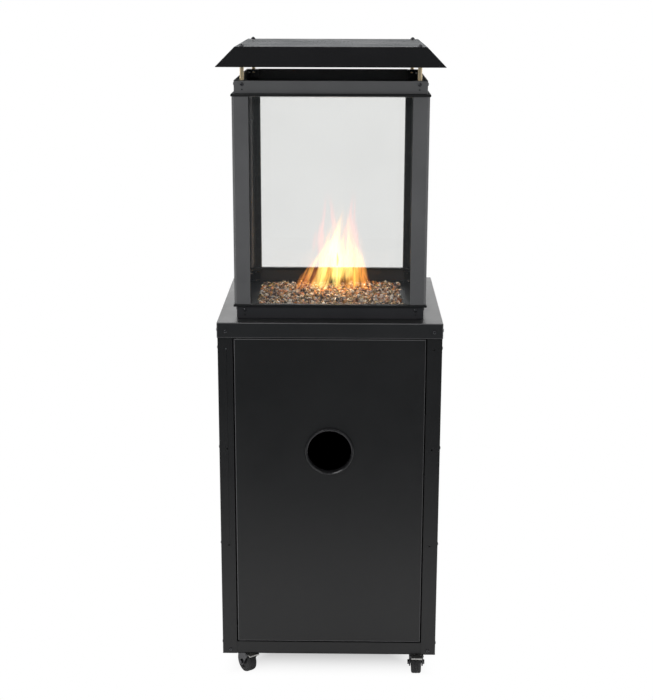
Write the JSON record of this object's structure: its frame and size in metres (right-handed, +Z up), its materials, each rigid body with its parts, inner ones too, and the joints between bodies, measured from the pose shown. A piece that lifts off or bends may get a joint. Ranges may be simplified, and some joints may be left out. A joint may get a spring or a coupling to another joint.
{
  "type": "outdoor gas heater",
  "caption": "Square gas flame lantern heater: wheeled cabinet with a door for the gas cylinder, four glass panes around a fire-glass burner, and a hipped roof on brass standoffs.",
  "frame": {"origin": "on the floor, at the middle of the plan", "axes": "+Z up, -Y towards the front with the door, +X to the right seen from the front"},
  "size_m": [0.4544, 0.4619, 1.3084],
  "materials": {
    "black_paint": "fine-textured black powder coat, semi-matt",
    "satin_paint": "satin dark grey powder coat on aluminium angle",
    "clear_glass": "clear toughened glass, polished",
    "amber_glass": "tumbled fire glass in amber, bronze, grey and clear",
    "brass": "turned brass, polished",
    "zinc_steel": "zinc-plated steel",
    "stainless": "stainless steel, heat-tinted",
    "aluminium": "cast and drawn aluminium, bare",
    "copper_lead": "copper capillary lead with a stainless tip",
    "ceramic": "white glazed ceramic with a black insulated lead",
    "seal_rubber": "black heat-resistant gasket strip",
    "caster_rubber": "black rubber tread on a moulded wheel",
    "black_plastic": "black moulded plastic, matt",
    "red_plastic": "red moulded plastic, gloss"
  },
  "bodies": {
    "heater": {"cabinet_top": "black_paint", "corner_post_front_left": "black_paint", "corner_post_front_right": "black_paint", "corner_post_rear_left": "black_paint", "corner_post_rear_right": "black_paint", "side_panel_left": "black_paint", "side_panel_right": "black_paint", "rear_panel": "black_paint", "floor_pan": "black_paint", "panel_screws": "zinc_steel", "door_pivot_brackets": "zinc_steel", "door_catch": "black_plastic", "lower_collar": "black_paint", "upper_collar": "black_paint", "collar_brackets": "black_paint", "collar_screws": "zinc_steel", "lantern_end_frames": "black_paint", "lantern_post_front_left": "satin_paint", "lantern_post_front_right": "satin_paint", "lantern_post_rear_left": "satin_paint", "lantern_post_rear_right": "satin_paint", "glass_front": "clear_glass", "glass_rear": "clear_glass", "glass_left": "clear_glass", "glass_right": "clear_glass", "glass_gaskets": "seal_rubber", "roof": "black_paint", "roof_standoffs": "brass", "roof_nuts": "zinc_steel", "burner_tray": "black_paint", "burner": "stainless", "fire_glass": "amber_glass", "injector": "brass", "gas_pipes": "aluminium", "pilot_burner": "brass", "thermocouple": "copper_lead", "spark_electrode": "ceramic", "gas_valve": "aluminium", "inlet_fitting": "brass", "control_plate": "black_paint", "igniter_body": "black_plastic", "tilt_switch": "black_plastic", "caster_plates": "zinc_steel", "caster_bolts": "zinc_steel"},
    "door": {"door_panel": "black_paint", "door_bezel": "black_paint", "door_pivot_pins": "zinc_steel"},
    "valve_spindle": {"valve_spindle": "zinc_steel"},
    "control_knob": {"control_knob": "black_plastic"},
    "igniter_button": {"igniter_button": "red_plastic"},
    "caster_front_left": {"caster_fork_front_left": "zinc_steel"},
    "wheel_front_left": {"caster_wheel_front_left": "caster_rubber"},
    "brake_front_left": {"brake_pedal_front_left": "black_plastic"},
    "caster_front_right": {"caster_fork_front_right": "zinc_steel"},
    "wheel_front_right": {"caster_wheel_front_right": "caster_rubber"},
    "brake_front_right": {"brake_pedal_front_right": "black_plastic"},
    "caster_rear_left": {"caster_fork_rear_left": "zinc_steel"},
    "wheel_rear_left": {"caster_wheel_rear_left": "caster_rubber"},
    "caster_rear_right": {"caster_fork_rear_right": "zinc_steel"},
    "wheel_rear_right": {"caster_wheel_rear_right": "caster_rubber"}
  },
  "joints": [
    {"name": "door_hinge", "type": "hinge", "parent": "heater", "child": "door", "pos_m": [-0.1833, -0.2158, 0.4], "axis": [0, 0, -1], "range_deg": [0, 100]},
    {"name": "knob_turn", "type": "hinge", "parent": "heater", "child": "valve_spindle", "pos_m": [-0.03, 0.2, 0.685], "axis": [0, 1, 0], "range_deg": [0, 225]},
    {"name": "knob_push", "type": "slide", "parent": "valve_spindle", "child": "control_knob", "axis": [0, -1, 0], "range_m": [0, 0.003], "stiffness_N_per_m": 400, "springref_m": -0.01},
    {"name": "igniter_push", "type": "slide", "parent": "heater", "child": "igniter_button", "axis": [0, -1, 0], "range_m": [0, 0.006], "stiffness_N_per_m": 300, "springref_m": -0.01},
    {"name": "caster_swivel_front_left", "type": "hinge", "parent": "heater", "child": "caster_front_left", "pos_m": [-0.185, -0.185, 0.05], "axis": [0, 0, 1], "continuous": true},
    {"name": "wheel_spin_front_left", "type": "hinge", "parent": "caster_front_left", "child": "wheel_front_left", "pos_m": [-0.17468, -0.19975, 0.024], "axis": [0.8192, 0.5736, 0], "continuous": true},
    {"name": "brake_front_left", "type": "hinge", "parent": "caster_front_left", "child": "brake_front_left", "pos_m": [-0.1642, -0.2147, 0.04576], "axis": [0.8192, 0.5736, 0], "range_deg": [0, 14]},
    {"name": "caster_swivel_front_right", "type": "hinge", "parent": "heater", "child": "caster_front_right", "pos_m": [0.185, -0.185, 0.05], "axis": [0, 0, 1], "continuous": true},
    {"name": "wheel_spin_front_right", "type": "hinge", "parent": "caster_front_right", "child": "wheel_front_right", "pos_m": [0.185, -0.203, 0.024], "axis": [1, 0, 0], "continuous": true},
    {"name": "brake_front_right", "type": "hinge", "parent": "caster_front_right", "child": "brake_front_right", "pos_m": [0.185, -0.22126, 0.04576], "axis": [1, 0, 0], "range_deg": [0, 14]},
    {"name": "caster_swivel_rear_left", "type": "hinge", "parent": "heater", "child": "caster_rear_left", "pos_m": [-0.185, 0.185, 0.05], "axis": [0, 0, 1], "continuous": true},
    {"name": "wheel_spin_rear_left", "type": "hinge", "parent": "caster_rear_left", "child": "wheel_rear_left", "pos_m": [-0.17884, 0.20191, 0.024], "axis": [-0.9397, 0.342, 0], "continuous": true},
    {"name": "caster_swivel_rear_right", "type": "hinge", "parent": "heater", "child": "caster_rear_right", "pos_m": [0.185, 0.185, 0.05], "axis": [0, 0, 1], "continuous": true},
    {"name": "wheel_spin_rear_right", "type": "hinge", "parent": "caster_rear_right", "child": "wheel_rear_right", "pos_m": [0.18249, 0.20283, 0.024], "axis": [-0.9903, -0.1392, 0], "continuous": true}
  ]
}
